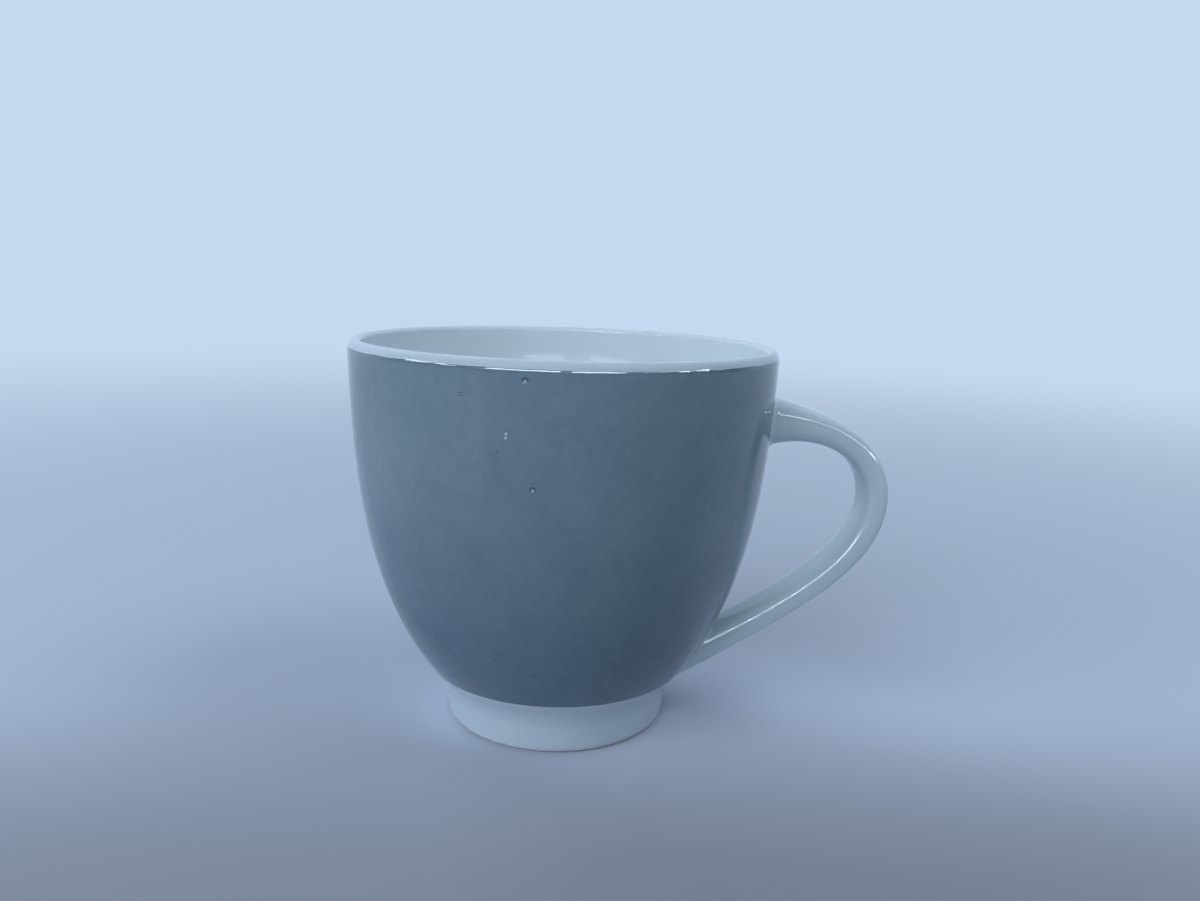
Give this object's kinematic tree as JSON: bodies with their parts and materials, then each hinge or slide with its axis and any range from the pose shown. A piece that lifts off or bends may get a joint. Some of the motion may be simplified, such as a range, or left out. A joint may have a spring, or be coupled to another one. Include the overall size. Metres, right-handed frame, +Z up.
{
  "type": "cappuccino cup",
  "caption": "Round-bottomed coffee cup on a low foot ring, slate blue-grey outside, white inside and at the lip and foot, with a looped white handle luted to its side.",
  "frame": {"origin": "centre of the standing ring, on the plane that the cup stands on", "axes": "+Z up along the bowl's axis, +X from that axis towards the handle"},
  "size_m": [0.1138, 0.088, 0.0805],
  "materials": {
    "porcelain": "fired porcelain, bare and finely matt on the standing ring",
    "clear_glaze": "clear gloss glaze over white porcelain",
    "slate_glaze": "slate blue-grey gloss glaze with faint clouding and a few pinholes",
    "glazed_porcelain": "white porcelain under its own clear gloss glaze"
  },
  "bodies": {
    "root": {"cup_body": "porcelain", "base_glaze": "clear_glaze", "foot_glaze": "clear_glaze", "colour_glaze": "slate_glaze", "inner_glaze": "clear_glaze", "handle": "glazed_porcelain", "upper_slip_joint": "glazed_porcelain", "lower_slip_joint": "glazed_porcelain"}
  },
  "joints": []
}
